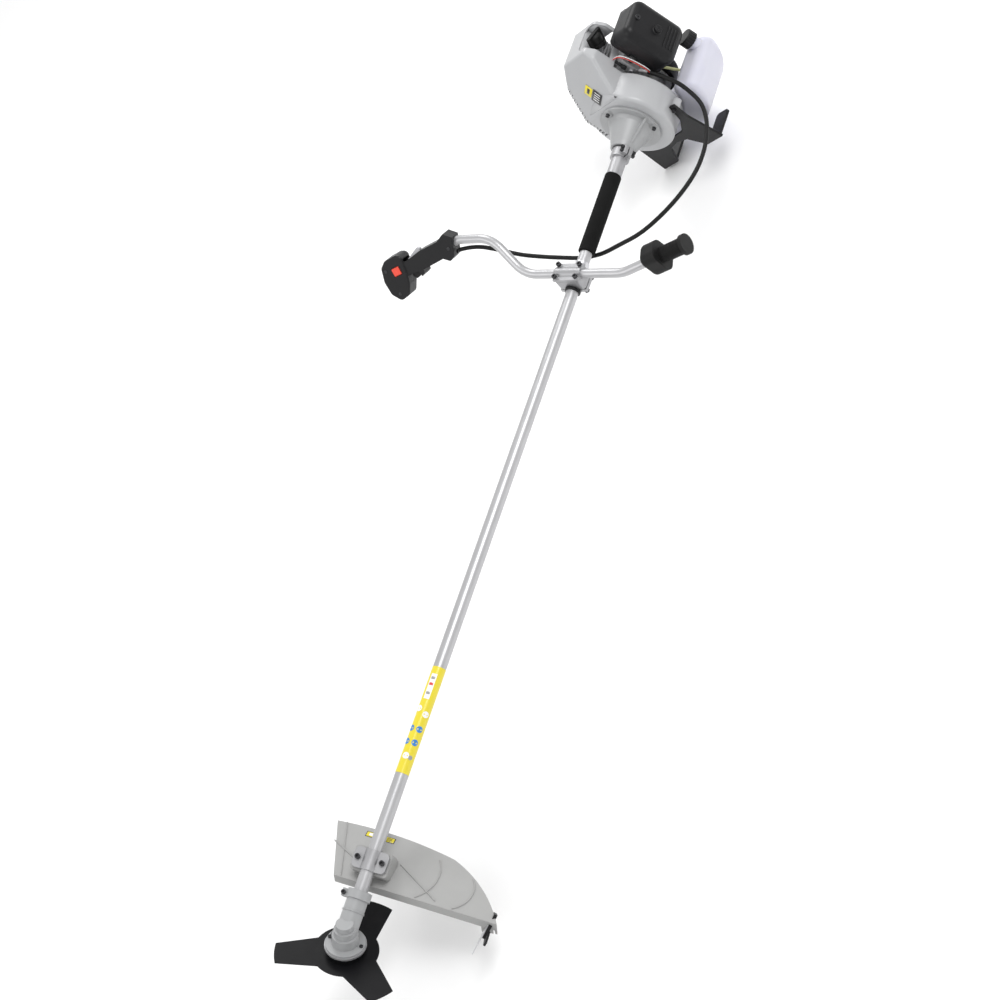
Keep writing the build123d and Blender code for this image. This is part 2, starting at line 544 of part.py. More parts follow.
with BuildPart() as lockout_lever:
    slab(Plane.XY.offset(-5.0), ((130, 4), (128, 12), (98, 25), (92, 21), (94, 15), (120, 6), (122, 1)), 10.0, 1.0)
    bar(Plane(origin=(*LOCKOUT_PIVOT, -5.0)), 2.5, 10.0)
save(lockout_lever, "lockout_lever", THROTTLE)

with BuildPart() as stop_switch:
    block(Plane.XY.offset(-HEAD_HALF - 1.5), 2 * SWITCH_HALF, 2 * SWITCH_HALF, 12.0, centre=SWITCH_SPOT)
    chamfer(stop_switch.faces().sort_by(Axis.Z)[0].edges().filter_by(Axis.X), 2.0)
    bar(SWITCH_AXIS, SWITCH_PIN_R + FIT, 24.0, Mode.SUBTRACT)
save(stop_switch, "stop_switch", THROTTLE)

# ======================= engine: drive end =======================
# Level frame at the engine: x = 0 is the cylinder axis, the shaft leaves towards +X, the cylinder is up.
COLLAR_X = (152.0, 213.0)
SLEEVE_R = 16.0
CONE_FRONT = 150.0
CONE_RIM_R = 26.0
CLUTCH_FLANGE_X = 86.0
CLUTCH_FLANGE_R = 66.0
SCREW_RING_R = 58.0
SHROUD_FRONT = 86.0
DRUM_R = 36.0
DRUM_WALL = 2.5

with BuildPart() as shaft_collar:
    bar(across(COLLAR_X[0]), SLEEVE_R, COLLAR_X[1] - COLLAR_X[0])
    bar(across(COLLAR_X[0]), 20.5, 20.0)
    block(across(COLLAR_X[0] + 1), 14.0, 22.0, 17.0, centre=(24, 0), corner=4)
    bar(across(COLLAR_X[0]), TUBE_R, COLLAR_X[1] - COLLAR_X[0], Mode.SUBTRACT)
    block(across(COLLAR_X[0] - 1), 24.0, 2.4, 21.0, centre=(22, 0), mode=Mode.SUBTRACT)
    bar(Plane(origin=(COLLAR_X[0], 26, -14)), 2.6, 30.0, Mode.SUBTRACT, ((5, 0), (13, 0)))
save(shaft_collar, "shaft_collar", ENGINE)

with BuildPart() as clutch_housing:
    turned(((CONE_FRONT, TUBE_R), (CONE_FRONT, CONE_RIM_R), (CONE_FRONT - 10, CONE_RIM_R + 3), (98, 45), (92, 50),
            (92, CLUTCH_FLANGE_R), (CLUTCH_FLANGE_X, CLUTCH_FLANGE_R), (CLUTCH_FLANGE_X, 42), (98, 41), (114, 35),
            (116, 14), (125, 14), (125, 9), (131, 9), (131, TUBE_R)))
    for angle in (90.0, 210.0, 330.0):
        spot = (SCREW_RING_R * cos(radians(angle)), SCREW_RING_R * sin(radians(angle)))
        bar(across(CLUTCH_FLANGE_X), 9.0, 8.0, Mode.ADD, (spot,))
        bar(across(CLUTCH_FLANGE_X - 1), 2.6, 12.0, Mode.SUBTRACT, (spot,))
    slab(Plane.XY.offset(-2.5), ((92, 46), (92, 60), (100, 54), (140, 30), (140, 27), (100, 42)), 5.0)
    bar(across(CONE_FRONT - 8), 21.5, 10.0, Mode.SUBTRACT)
    bar(across(130), TUBE_R, 30.0, Mode.SUBTRACT)
save(clutch_housing, "clutch_housing", ENGINE)

with BuildPart() as clutch_drum:
    turned(((92, DRUM_R - DRUM_WALL), (92, DRUM_R), (111, 33), (113, 12), (116, 6), (125, 6), (125, DRIVE_R),
            (108, DRIVE_R), (108, 30), (107, DRUM_R - DRUM_WALL - 2)))
save(clutch_drum, "clutch_drum", ENGINE)

with BuildPart() as clutch_shoes:
    bar(across(92.5), DRUM_R - DRUM_WALL - 3.0, 13.0)
    bar(across(92.5), 7.5, 13.0, Mode.SUBTRACT)
    block(across(92.5), 90.0, 1.6, 13.0, mode=Mode.SUBTRACT)
    bar(across(96.5), DRUM_R - DRUM_WALL - 2.9, 3.0)
    bar(across(96.5), 25.5, 3.0, Mode.SUBTRACT)
save(clutch_shoes, "clutch_shoes", ENGINE)

FAN_R = 56.0
FAN_BLADES = 14
with BuildPart() as flywheel:
    bar(across(44), 50.0, 14.0)
    with BuildSketch(across(58)) as vanes:
        with PolarLocations(FAN_R - 11, FAN_BLADES):
            Rectangle(22, 3)
    extrude(vanes.sketch, amount=11.0)
    bar(across(44), 42.0, 6.0, Mode.SUBTRACT)
    bar(across(40), 10.0, 45.0)
    bar(across(40), 7.5, 45.0, Mode.SUBTRACT)
save(flywheel, "flywheel", ENGINE)

# ======================= engine: power unit =======================
CASE_R = 38.0
BORE_R = 20.0
CYL_BASE = 42.0
FIN_TOP = 128.0
FIN_COUNT = 11
PLUG = Plane(origin=(-16, 12, 116), x_dir=(0.88, 0, 0.25), z_dir=(-0.25, 0.4, 0.88))

with BuildPart() as crankcase:
    bar(across(-36), CASE_R, 72.0)
    block(Plane(origin=(0, 0, 20)), 68.0, 64.0, CYL_BASE - 20, corner=6)
    bar(across(30), 52.0, 6.0)
    bar(across(-36), 52.0, 5.0)
    bar(across(-24), 28.0, 48.0, Mode.SUBTRACT)
    bar(Plane(origin=(0, 0, 10)), BORE_R + 3, 40.0, Mode.SUBTRACT)
    bar(across(-50), 10.0 + FIT, 100.0, Mode.SUBTRACT)
save(crankcase, "crankcase", ENGINE)

with BuildPart() as crankshaft:
    bar(across(-64), 10.0, 102.0)
    bar(across(38), 7.5, 66.0)
    bar(across(-20), 26.0, 12.0)
    bar(across(8), 26.0, 12.0)
    bar(across(-10), 7.0, 20.0, Mode.ADD, ((0, 16),))
    bar(across(-8), 12.0, 16.0, Mode.SUBTRACT)
    bar(across(-10), 7.0, 20.0, Mode.ADD, ((0, 16),))
save(crankshaft, "crankshaft", ENGINE)

with BuildPart() as cylinder:
    bar(Plane(origin=(0, 0, CYL_BASE)), 27.0, FIN_TOP - CYL_BASE)
    block(Plane(origin=(0, 0, CYL_BASE)), 60.0, 56.0, 6.0, corner=6)
    for fin in range(FIN_COUNT):
        height = 56.0 + fin * (FIN_TOP - 60.0) / (FIN_COUNT - 1)
        block(Plane(origin=(0, 0, height)), 76.0, 68.0, 3.0, corner=10)
    bar(Plane(origin=(0, 0, CYL_BASE)), BORE_R, 80.0, Mode.SUBTRACT)
    bar(PLUG, 7.0, 40.0, Mode.SUBTRACT)
    block(Plane(origin=(0, 24, 80), x_dir=(1, 0, 0), z_dir=(0, 1, 0)), 40.0, 32.0, 12.0)
    bar(Plane(origin=(0, 0, 80), x_dir=(1, 0, 0), z_dir=(0, 1, 0)), 8.0, 50.0, Mode.SUBTRACT)
save(cylinder, "cylinder", ENGINE)

with BuildPart() as piston:
    bar(Plane(origin=(0, 0, 66)), BORE_R - FIT, 34.0)
    bar(Plane(origin=(0, 0, 66)), BORE_R - 3.5, 28.0, Mode.SUBTRACT)
    bar(across(-18, 0, 80), 5.0, 36.0)
save(piston, "piston", ENGINE)

with BuildPart() as spark_plug:
    bar(PLUG.offset(6), 7.0, 12.0)
    hexagon(PLUG.offset(18), 19.0, 7.0)
    bar(PLUG.offset(25), 5.0, 14.0)
save(spark_plug, "spark_plug", ENGINE)

with BuildPart() as plug_boot:
    bar(PLUG.offset(27), 14.0, 26.0)
    fillet(plug_boot.faces().sort_by(Axis.Z)[-1].edges(), 6.0)
    bar(PLUG.offset(27), 18.0, 7.0)
    block(PLUG.offset(30), 46.0, 9.0, 26.0, corner=4.2)
    bar(PLUG.offset(26), 5.0 + FIT, 13.2, Mode.SUBTRACT)
save(plug_boot, "plug_boot", ENGINE)

with BuildPart() as muffler:
    block(Plane(origin=(-4, -44, 86), x_dir=(1, 0, 0), z_dir=(0, -1, 0)), 66.0, 74.0, 28.0, corner=10)
    fillet(muffler.faces().sort_by(Axis.Y)[0].edges(), 5.0)
    block(Plane(origin=(0, -34.5, 80), x_dir=(1, 0, 0), z_dir=(0, -1, 0)), 36.0, 30.0, 10.0)
save(muffler, "muffler", ENGINE)

# ======================= engine: shroud =======================
SHROUD_R = 93.0
SHROUD_BACK = -62.0
SHROUD_TOP = 170.0
SHROUD_LEFT = 46.0
SHROUD_RIGHT = -84.0
SHROUD_WALL = 3.0
FRONT_STEP = 22.0          # the round fan end of the shroud starts this far forward
LOUVRES = 15
LOUVRE_STEP = 8.8


def shroud_solid(inset):
    """Outer form of the engine cover: a round fan end joined to a tall box over the cylinder."""
    with BuildPart() as form:
        with BuildSketch(across(SHROUD_BACK)) as tall:
            with BuildLine():
                Polyline((SHROUD_RIGHT + inset, 10), (SHROUD_RIGHT + inset, 128), (-52, SHROUD_TOP - inset),
                         (30, SHROUD_TOP - inset), (SHROUD_LEFT - inset, 150), (SHROUD_LEFT - inset, 10), close=True)
            make_face()
            fillet(tall.vertices().group_by(Axis.Z)[-1], 12)
        extrude(tall.sketch, amount=SHROUD_FRONT - SHROUD_BACK - inset)
        bar(across(FRONT_STEP), SHROUD_R - inset, SHROUD_FRONT - FRONT_STEP - inset)
        with BuildSketch(side(120)) as wedge:
            with BuildLine():
                Polyline((SHROUD_BACK, -100), (SHROUD_FRONT - inset, -100), (SHROUD_FRONT - inset, 66),
                         (62 - inset, 104), (18 - inset, SHROUD_TOP), (18 - inset, 200), (SHROUD_BACK, 200), close=True)
            make_face()
            fillet(wedge.vertices().group_by(Axis.X)[-1].sort_by(Axis.Z)[-1], 20)
        extrude(wedge.sketch, amount=240, mode=Mode.INTERSECT)
    return form.part


with BuildPart() as engine_shroud:
    add(shroud_solid(0.0))
    fillet(engine_shroud.faces().filter_by(Axis.X).sort_by(Axis.X)[-1].edges(), 8.0)
    add(shroud_solid(SHROUD_WALL), mode=Mode.SUBTRACT)
    bar(across(60), 44.0, 40.0, Mode.SUBTRACT)
    bar(across(FRONT_STEP - 2), SHROUD_R - 12, 10.0, Mode.SUBTRACT)
    block(Plane(origin=(-24, 30, 116)), 60.0, 58.0, 80.0, corner=12, mode=Mode.SUBTRACT)
    block(Plane(origin=(-13, 45, -5)), 108.0, 30.0, 43.0, mode=Mode.SUBTRACT)
    block(Plane(origin=(-6, 45, 55)), 50.0, 30.0, 47.0, mode=Mode.SUBTRACT)
    for slot in range(LOUVRES):
        height = 14.0 + slot * LOUVRE_STEP
        vent = Plane(origin=(44, -72, height), x_dir=(1, 0, 0), z_dir=(0, -1, 0))
        block(vent, 104.0, 4.2, 30.0, mode=Mode.SUBTRACT)
    for angle in (90.0, 210.0, 330.0):
        spot = (SCREW_RING_R * cos(radians(angle)), SCREW_RING_R * sin(radians(angle)))
        bar(across(SHROUD_FRONT - 6), 6.0, 6.0, Mode.ADD, (spot,))
        bar(across(SHROUD_FRONT - 8), 2.6, 12.0, Mode.SUBTRACT, (spot,))
    for lug in (1, -1):
        bar(across(34), 9.0, 20.0, Mode.ADD, ((lug * 92, -40),))
        bar(across(30), 2.6, 30.0, Mode.SUBTRACT, ((lug * 92, -40),))
        bar(across(FRONT_STEP - 1), SHROUD_R - SHROUD_WALL, 60.0, Mode.SUBTRACT)
save(engine_shroud, "engine_shroud", ENGINE)

# ======================= engine: fuel, air and stand =======================
CABLE_STOP = Plane(origin=(4, 75.5, 37.5), z_dir=(0, 0.62, -0.78))
with BuildPart() as carburettor:
    block(Plane(origin=(0, 36.5, 80), x_dir=(1, 0, 0), z_dir=(0, 1, 0)), 34.0, 28.0, 8.0, corner=4)
    block(Plane(origin=(-8, 44.5, 78), x_dir=(1, 0, 0), z_dir=(0, 1, 0)), 40.0, 42.0, 26.0, corner=4)
    bar(CABLE_STOP, 5.5, -30.0)
    bar(Plane(origin=(-10, 58, 56)), 5.4, 6.0, Mode.SUBTRACT)
    bar(Plane(origin=(0, 36, 80), x_dir=(1, 0, 0), z_dir=(0, 1, 0)), 7.0, 40.0, Mode.SUBTRACT)
save(carburettor, "carburettor", ENGINE)

with BuildPart() as primer_bulb:
    bar(Plane(origin=(-10, 58, 56.7)), 5.0, -9.0)
save(primer_bulb, "primer_bulb", ENGINE)

FILTER_X = (-95.0, -2.0)
FILTER_Z = (12.0, 140.0)
FILTER_BACK_Y = 71.0
FILTER_LIP_Y = 84.0
FILTER_FRONT_Y = 137.0
filter_mid = ((FILTER_X[0] + FILTER_X[1]) / 2, (FILTER_Z[0] + FILTER_Z[1]) / 2)
filter_size = (FILTER_X[1] - FILTER_X[0], FILTER_Z[1] - FILTER_Z[0])


def on_filter(y):
    """Upright plane facing the operator's left at y, centred on the air filter."""
    return Plane(origin=(filter_mid[0], y, filter_mid[1]), x_dir=(-1, 0, 0), z_dir=(0, 1, 0))


with BuildPart() as air_filter_base:
    block(on_filter(FILTER_BACK_Y), filter_size[0] - 4, filter_size[1] - 4, FILTER_LIP_Y - FILTER_BACK_Y, corner=10)
    block(on_filter(FILTER_BACK_Y + 3), filter_size[0] - 10, filter_size[1] - 10, 40.0, corner=7, mode=Mode.SUBTRACT)
    bar(Plane(origin=(-8, 60, 78), x_dir=(1, 0, 0), z_dir=(0, 1, 0)), 10.0, 20.0, Mode.SUBTRACT)
save(air_filter_base, "air_filter_base", ENGINE)

with BuildPart() as air_filter_cover:
    block(on_filter(FILTER_LIP_Y), filter_size[0], filter_size[1], FILTER_FRONT_Y - FILTER_LIP_Y, corner=20)
    fillet(air_filter_cover.faces().sort_by(Axis.Y)[-1].edges(), 17.0)
    block(on_filter(FILTER_LIP_Y), filter_size[0] - 14, filter_size[1] - 14, 40.0, corner=13, mode=Mode.SUBTRACT)
    bar(Plane(origin=(-48, FILTER_FRONT_Y - 9, 126), z_dir=(0, 1, 0)), 2.6, 12.0, Mode.SUBTRACT)
save(air_filter_cover, "air_filter_cover", ENGINE)

with BuildPart() as choke_lever:
    bar(Plane(origin=(12.2, 57, 84), x_dir=(0, 1, 0), z_dir=(1, 0, 0)), 6.0, 4.0)
    block(Plane(origin=(12.2, 57, 94), x_dir=(0, 1, 0), z_dir=(1, 0, 0)), 7.0, 26.0, 3.0, corner=3)
save(choke_lever, "choke_lever", ENGINE)

with BuildPart() as throttle_arm:
    bar(Plane(origin=(12.2, 57, 66), x_dir=(0, 1, 0), z_dir=(1, 0, 0)), 5.0, 3.0)
    block(Plane(origin=(12.2, 55, 66), x_dir=(0, 1, 0), z_dir=(1, 0, 0)), 16.0, 6.0, 2.0, corner=2.5)
save(throttle_arm, "throttle_arm", ENGINE)

STARTER_X = (-78.0, -41.0)
with BuildPart() as starter_housing:
    bar(across(STARTER_X[0]), 58.0, STARTER_X[1] - STARTER_X[0])
    fillet(starter_housing.faces().sort_by(Axis.X)[0].edges(), 10.0)
    bar(across(-74), 52.0, 40.0, Mode.SUBTRACT)
    with BuildSketch(across(STARTER_X[0] - 1)) as vents:
        with PolarLocations(34, 10):
            SlotOverall(24, 5)
    extrude(vents.sketch, amount=12.0, mode=Mode.SUBTRACT)
    block(Plane(origin=(-60, -30, 40)), 20.0, 22.0, 20.0, corner=4)
    bar(Plane(origin=(-60, -30, 30)), 3.0, 40.0, Mode.SUBTRACT)
save(starter_housing, "starter_housing", ENGINE)

with BuildPart() as starter_handle:
    block(Plane(origin=(-60, -30, 60.5)), 14.0, 40.0, 16.0, corner=6)
    fillet(starter_handle.faces().sort_by(Axis.Z)[-1].edges(), 4.0)
save(starter_handle, "starter_handle", ENGINE)

TANK_X = (-116.0, 14.0)
TANK_IN = 82.0
TANK_OUT = 146.0
TANK_ANGLES = (-14.0, -138.0)
NECK = (-92.0, 112.0, -34.0)
NECK_R = 14.0


def ring_point(radius, angle):
    """Point at a radius and an angle about the shaft, in a plane square to it."""
    return (radius * cos(radians(angle)), radius * sin(radians(angle)))


def tank_form(inset):
    """Crescent of the tank around the underside of the engine."""
    inner, outer = TANK_IN + inset, TANK_OUT - inset
    first, last = TANK_ANGLES[0] - inset * 0.5, TANK_ANGLES[1] + inset * 0.5
    middle = (first + last) / 2
    with BuildPart() as form:
        with BuildSketch(across(TANK_X[0] + inset)) as crescent:
            with BuildLine():
                ThreePointArc(ring_point(outer, first), ring_point(outer, middle), ring_point(outer, last))
                Line(ring_point(outer, last), ring_point(inner, last))
                ThreePointArc(ring_point(inner, last), ring_point(inner, middle), ring_point(inner, first))
                Line(ring_point(inner, first), ring_point(outer, first))
            make_face()
            fillet(crescent.vertices(), 22.0 - inset)
        extrude(crescent.sketch, amount=TANK_X[1] - TANK_X[0] - 2 * inset)
        fillet(form.faces().filter_by(Axis.X).edges(), 12.0 - inset)
    return form.part


with BuildPart() as fuel_tank:
    add(tank_form(0.0))
    bar(Plane(origin=NECK), NECK_R, 30.0)
    add(tank_form(2.5), mode=Mode.SUBTRACT)
    bar(Plane(origin=NECK), NECK_R - 3, 40.0, Mode.SUBTRACT)
save(fuel_tank, "fuel_tank", ENGINE)

CAP_Z = NECK[2] + 17.0
with BuildPart() as fuel_cap:
    bar(Plane(origin=(NECK[0], NECK[1], CAP_Z)), 19.0, 20.0)
    fillet(fuel_cap.faces().sort_by(Axis.Z)[-1].edges(), 2.5)
    with BuildSketch(Plane(origin=(NECK[0], NECK[1], CAP_Z))) as grooves:
        with PolarLocations(19.2, 18):
            Circle(1.4)
    extrude(grooves.sketch, amount=17.0, mode=Mode.SUBTRACT)
    bar(Plane(origin=(NECK[0], NECK[1], CAP_Z)), NECK_R + GAP, 13.3, Mode.SUBTRACT)
save(fuel_cap, "fuel_cap", ENGINE)

STAND_X = (55.0, 60.0)
STAND_FLOOR = -156.0
RUNNER_Y = 72.0
with BuildPart() as engine_stand:
    for hand in (1, -1):
        slab(across(STAND_X[0]), ((hand * 90, -28), (hand * 104, -30), (hand * 98, -70), (hand * 108, STAND_FLOOR),
                                  (hand * 56, STAND_FLOOR), (hand * 30, -118), (0, -112), (0, -97),
                                  (hand * 44, -94), (hand * 74, -68)), 5.0)
        block(Plane(origin=(24, hand * 82, STAND_FLOOR)), 72.0, 40.0, 5.0, corner=8)
    bar(across(STAND_X[0] - 2), 2.6, 12.0, Mode.SUBTRACT, ((92, -40), (-92, -40)))
save(engine_stand, "engine_stand", ENGINE)

with BuildPart() as engine_screws:
    for angle in (90.0, 210.0, 330.0):
        spot = ring_point(SCREW_RING_R, angle)
        socket_screw(across(94, *spot), 2.5, 16.0, 4.2, 5.0, 4.0)
    for hand in (1, -1):
        socket_screw(across(STAND_X[1], hand * 92, -40), 2.5, 18.0, 4.2, 5.0, 4.0)
    for back in (5.0, 13.0):
        socket_screw(Plane(origin=(COLLAR_X[0] + back, 26, 11)), 2.5, 20.0, 4.2, 5.0, 4.0)
    socket_screw(Plane(origin=(-48, FILTER_FRONT_Y, 126), z_dir=(0, 1, 0)), 2.5, 5.0, 5.5, 4.0, 4.0)
save(engine_screws, "engine_screws", ENGINE)

# ======================= cords =======================
# The throttle cable runs in one sheath with the switch wires, under the shaft and out to the carburettor.
CABLE_R = 4.5
CABLE_ROUTE = (
    (-4.5, -273.0, 64.5), (-15.0, -238.0, 64.0), (-15.0, -183.0, 45.0), (-16.0, -145.0, 24.0),
    (-24.0, -103.0, 3.0), (-35.0, -70.0, -18.0), (-38.0, -28.0, -26.0), (-46.0, 18.0, -26.0),
    (-60.0, 62.0, -14.0), (-76.0, 112.0, -2.0), (-112.0, 153.0, 6.0), (-158.0, 187.0, 12.0),
    (-210.0, 211.0, 18.0), (-262.0, 216.0, 22.0), (-318.0, 205.0, 24.0), (-366.0, 181.0, 26.0),
    (-394.0, 150.0, 33.0), (-425.0, 100.0, 46.5), (-431.0, 49.1, 68.5))
with BuildPart() as throttle_cable:
    cable_length = hose(CABLE_ROUTE, CABLE_R)
save(throttle_cable, "throttle_cable", SHAFT)

# The fuel hose is pushed through the tank wall and onto the underside of the carburettor.
FUEL_R = 3.0
FUEL_ROUTE = ((-54, 73.5, -46), (-50, 62, -30), (-40, 63, -6), (-29, 60, 22), (-24, 58, 57))
with BuildPart() as fuel_line:
    fuel_length = hose(FUEL_ROUTE, FUEL_R)
save(fuel_line, "fuel_line", ENGINE)

for name, cord, route, length, radius in (
        ("throttle cable", throttle_cable, CABLE_ROUTE, cable_length, CABLE_R),
        ("fuel hose", fuel_line, FUEL_ROUTE, fuel_length, FUEL_R)):
    print(name, "length", round(length, 1), "radii", [round(r) for r in fair_radii(route)])
    print(name, "volume against section times length", cord.part.volume / (pi * radius**2 * length))
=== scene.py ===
"""Looks of a petrol brush cutter: camera, cords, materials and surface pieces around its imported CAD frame.

Metres, row frame: +X from the engine to the blade, +Y the operator's left, +Z up, origin at the harness eye.
"""

import json
from math import cos, pi, radians, sin

import bmesh
import bpy
from mathutils import Matrix, Vector


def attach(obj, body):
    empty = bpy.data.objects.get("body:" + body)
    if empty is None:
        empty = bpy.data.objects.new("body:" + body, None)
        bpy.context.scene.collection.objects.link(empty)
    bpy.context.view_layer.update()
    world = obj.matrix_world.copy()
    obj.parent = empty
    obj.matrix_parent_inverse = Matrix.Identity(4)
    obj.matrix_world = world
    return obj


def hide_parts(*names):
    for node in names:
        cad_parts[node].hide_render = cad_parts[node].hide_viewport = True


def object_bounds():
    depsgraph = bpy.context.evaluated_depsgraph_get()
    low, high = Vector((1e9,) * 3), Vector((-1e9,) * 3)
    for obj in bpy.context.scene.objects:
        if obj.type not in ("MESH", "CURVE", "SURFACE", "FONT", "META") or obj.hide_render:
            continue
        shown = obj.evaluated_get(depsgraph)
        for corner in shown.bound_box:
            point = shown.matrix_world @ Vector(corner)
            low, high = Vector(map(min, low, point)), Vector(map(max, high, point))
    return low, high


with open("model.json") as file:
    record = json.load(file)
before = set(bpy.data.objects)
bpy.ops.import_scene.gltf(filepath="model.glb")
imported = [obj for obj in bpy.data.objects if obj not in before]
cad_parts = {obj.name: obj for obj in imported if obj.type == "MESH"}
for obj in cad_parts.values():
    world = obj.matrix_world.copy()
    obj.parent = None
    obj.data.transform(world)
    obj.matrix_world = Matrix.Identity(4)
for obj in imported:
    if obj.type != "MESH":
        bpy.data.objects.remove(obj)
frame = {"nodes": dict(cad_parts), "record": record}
cad_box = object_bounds()

# ---- places shared with the CAD model (metres, degrees) ----
AXIS_Z = 0.032                           # shaft axis
TUBE_R = 0.013                           # shaft tube
ENGINE_X, ENGINE_TURN = -0.435, 28       # cylinder axis, and the engine's turn about the shaft
GEARHEAD_X, GEARHEAD_TURN = 1.4, -20     # gearhead centre, and its turn about the shaft
SHAFT = Matrix.Translation((0, 0, AXIS_Z))
ENGINE = Matrix.Translation((ENGINE_X, 0, AXIS_Z)) @ Matrix.Rotation(radians(ENGINE_TURN), 4, "X")
GEARHEAD = Matrix.Translation((GEARHEAD_X, 0, AXIS_Z)) @ Matrix.Rotation(radians(GEARHEAD_TURN), 4, "X")
THROTTLE_X = Vector((0.352067, -0.927178, -0.128025))
THROTTLE_Z = Vector((-0.781163, -0.215726, -0.585872))
THROTTLE_ORIGIN = (-0.019, -0.268, 0.114)
GUARD_SLOPE = 24.8
GUARD_FRONT = (-0.097, 0, -0.020)        # gearhead axes


# ======================= camera, floor and light =======================
CAMERA_LENS = 64.8                       # millimetres, on a sensor of CAMERA_SENSOR
CAMERA_SENSOR = 36.0
CAMERA_SHIFT = (-0.0038, 0.0044)
CAMERA_AXES = ((-0.3133, 0.8054, -0.5033), (-0.8893, -0.0630, 0.4529), (0.3330, 0.5895, 0.7359))
CAMERA_SPOT = (1.6955, 2.0575, 2.5818)
FLOOR_SIZE = 80
FLOOR_MIDDLE_X = 0.5
FLOOR_GAP = 0.001                        # below the lowest CAD point
FLOOR_GREY = 0.93
SKY_STRENGTH = 0.80


def matrix_from_axes(x_axis, y_axis, z_axis, origin):
    """Placement whose columns are the three axes and the origin."""
    placed = Matrix((x_axis, y_axis, z_axis)).transposed().to_4x4()
    placed.translation = origin
    return placed


def facing(origin, normal, x_hint):
    """Placement whose Z is the normal and whose X is nearest the hint."""
    z_axis = Vector(normal).normalized()
    x_axis = (Vector(x_hint) - z_axis * Vector(x_hint).dot(z_axis)).normalized()
    return matrix_from_axes(x_axis, z_axis.cross(x_axis), z_axis, Vector(origin))


def look_from():
    """Camera above the operator's left side, with the shaft running down the picture."""
    camera_data = bpy.data.cameras.new("camera")
    camera_data.lens = CAMERA_LENS
    camera_data.sensor_width = CAMERA_SENSOR
    camera_data.shift_x, camera_data.shift_y = CAMERA_SHIFT
    camera_data.clip_end = 50.0
    camera = bpy.data.objects.new("camera", camera_data)
    camera.matrix_world = matrix_from_axes(*CAMERA_AXES, CAMERA_SPOT)
    bpy.context.scene.collection.objects.link(camera)
    bpy.context.scene.camera = camera


def area_light(name, spot, aim, size, power):
    """Soft square lamp at a spot, turned to the aim."""
    lamp_data = bpy.data.lights.new(name, "AREA")
    lamp_data.size = size
    lamp_data.energy = power
    lamp = bpy.data.objects.new(name, lamp_data)
    lamp.location = spot
    lamp.rotation_euler = (Vector(aim) - Vector(spot)).to_track_quat("-Z", "Y").to_euler()
    bpy.context.scene.collection.objects.link(lamp)


def studio():
    """Pale floor, even sky and three soft lamps."""
    floor_z = cad_box[0][2] - FLOOR_GAP
    bpy.ops.mesh.primitive_plane_add(size=FLOOR_SIZE, location=(FLOOR_MIDDLE_X, 0, floor_z))
    floor = bpy.context.object
    floor.name = "floor"
    paint = bpy.data.materials.new("floor_paint")
    paint.use_nodes = True
    shader = paint.node_tree.nodes["Principled BSDF"]
    shader.inputs["Base Color"].default_value = (FLOOR_GREY, FLOOR_GREY, FLOOR_GREY, 1)
    shader.inputs["Roughness"].default_value = 0.9
    floor.data.materials.append(paint)
    world = bpy.data.worlds.new("studio")
    world.use_nodes = True
    sky = world.node_tree.nodes["Background"]
    sky.inputs["Color"].default_value = (1, 1, 1, 1)
    sky.inputs["Strength"].default_value = SKY_STRENGTH
    bpy.context.scene.world = world
    bpy.context.scene.view_settings.view_transform = "Standard"
    area_light("key", (-0.6, 1.6, 3.2), (0.4, 0, 0), 1.6, 62)
    area_light("fill", (2.6, -1.8, 2.6), (0.5, 0, 0), 2.2, 30)
    area_light("rim", (-1.8, -1.2, 1.8), (-0.2, 0, 0), 1.2, 22)


# ======================= materials =======================
PATCH_SCALE, PATCH_DETAIL = 22.0, 6.0    # noise that mottles the colour
SMUDGE_SCALE, SMUDGE_DETAIL = 60.0, 4.0  # noise that varies the gloss
GRAIN_DETAIL = 3.0
BUMP_DISTANCE = 0.0004
COAT_ROUGHNESS = 0.15
WEAR_STARTS, WEAR_FULL = 0.99, 0.80      # cosine between the rounded and the true normal


def noise(nodes, links, spot, scale, detail):
    """Strength output of a noise texture laid out by a vector."""
    texture = nodes.new("ShaderNodeTexNoise")
    texture.inputs["Scale"].default_value = scale
    texture.inputs["Detail"].default_value = detail
    links.new(spot, texture.inputs["Vector"])
    return texture.outputs["Fac"]


